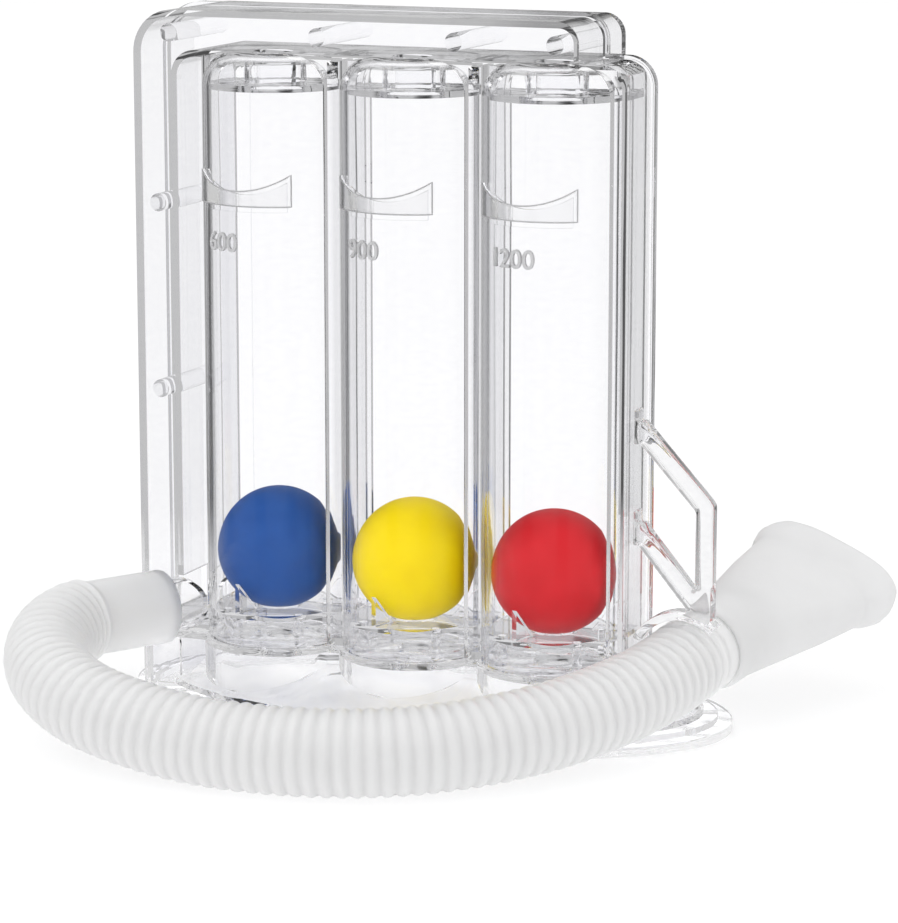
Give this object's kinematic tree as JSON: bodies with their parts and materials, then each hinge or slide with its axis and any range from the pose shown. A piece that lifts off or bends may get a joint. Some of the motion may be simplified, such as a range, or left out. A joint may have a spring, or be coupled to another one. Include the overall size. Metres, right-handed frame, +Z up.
{
  "type": "breathing trainer",
  "caption": "Clear breathing trainer whose coloured balls rise in upright columns as air is drawn through a ribbed hose and flat-lipped mouthpiece; oval base and side tube holder.",
  "frame": {"origin": "middle of the oval base on the surface that it stands on", "axes": "+Z up along the columns, -Y towards the user, +X to the user's right, where the tube holder is"},
  "size_m": [0.1806, 0.1563, 0.1646],
  "materials": {
    "clear_plastic": "clear polystyrene, glossy",
    "clear_base": "clear polystyrene, glossy",
    "clear_insert": "clear polystyrene, glossy",
    "clear_holder": "clear polystyrene, glossy",
    "frosted_nozzle": "frosted clear plastic",
    "ball_blue": "smooth satin polypropylene",
    "ball_yellow": "smooth satin polypropylene",
    "ball_red": "smooth satin polypropylene",
    "hose": "translucent white polyethylene",
    "mouthpiece": "frosted translucent white plastic"
  },
  "bodies": {
    "body": {"base": "clear_base", "front_shell": "clear_plastic", "rear_shell": "clear_plastic", "ball_seat_left": "clear_insert", "ball_seat_middle": "clear_insert", "ball_seat_right": "clear_insert", "top_stop_left": "clear_insert", "top_stop_middle": "clear_insert", "top_stop_right": "clear_insert", "shell_posts": "clear_plastic", "hose_port": "frosted_nozzle", "tube_holder": "clear_holder", "hose": "hose"},
    "blue_ball": {"ball_blue": "ball_blue"},
    "yellow_ball": {"ball_yellow": "ball_yellow"},
    "red_ball": {"ball_red": "ball_red"},
    "mouth_end": {"mouthpiece": "mouthpiece"}
  },
  "joints": [
    {"name": "blue_ball_rise", "type": "slide", "parent": "body", "child": "blue_ball", "axis": [0, 0, 1], "range_m": [0, 0.0952]},
    {"name": "yellow_ball_rise", "type": "slide", "parent": "body", "child": "yellow_ball", "axis": [0, 0, 1], "range_m": [0, 0.0952]},
    {"name": "red_ball_rise", "type": "slide", "parent": "body", "child": "red_ball", "axis": [0, 0, 1], "range_m": [0, 0.0952]},
    {"name": "mouthpiece_turn", "type": "hinge", "parent": "body", "child": "mouth_end", "pos_m": [0.07146, 0.0175, 0.02175], "axis": [0.2391, 0.9591, 0.1513], "continuous": true}
  ]
}
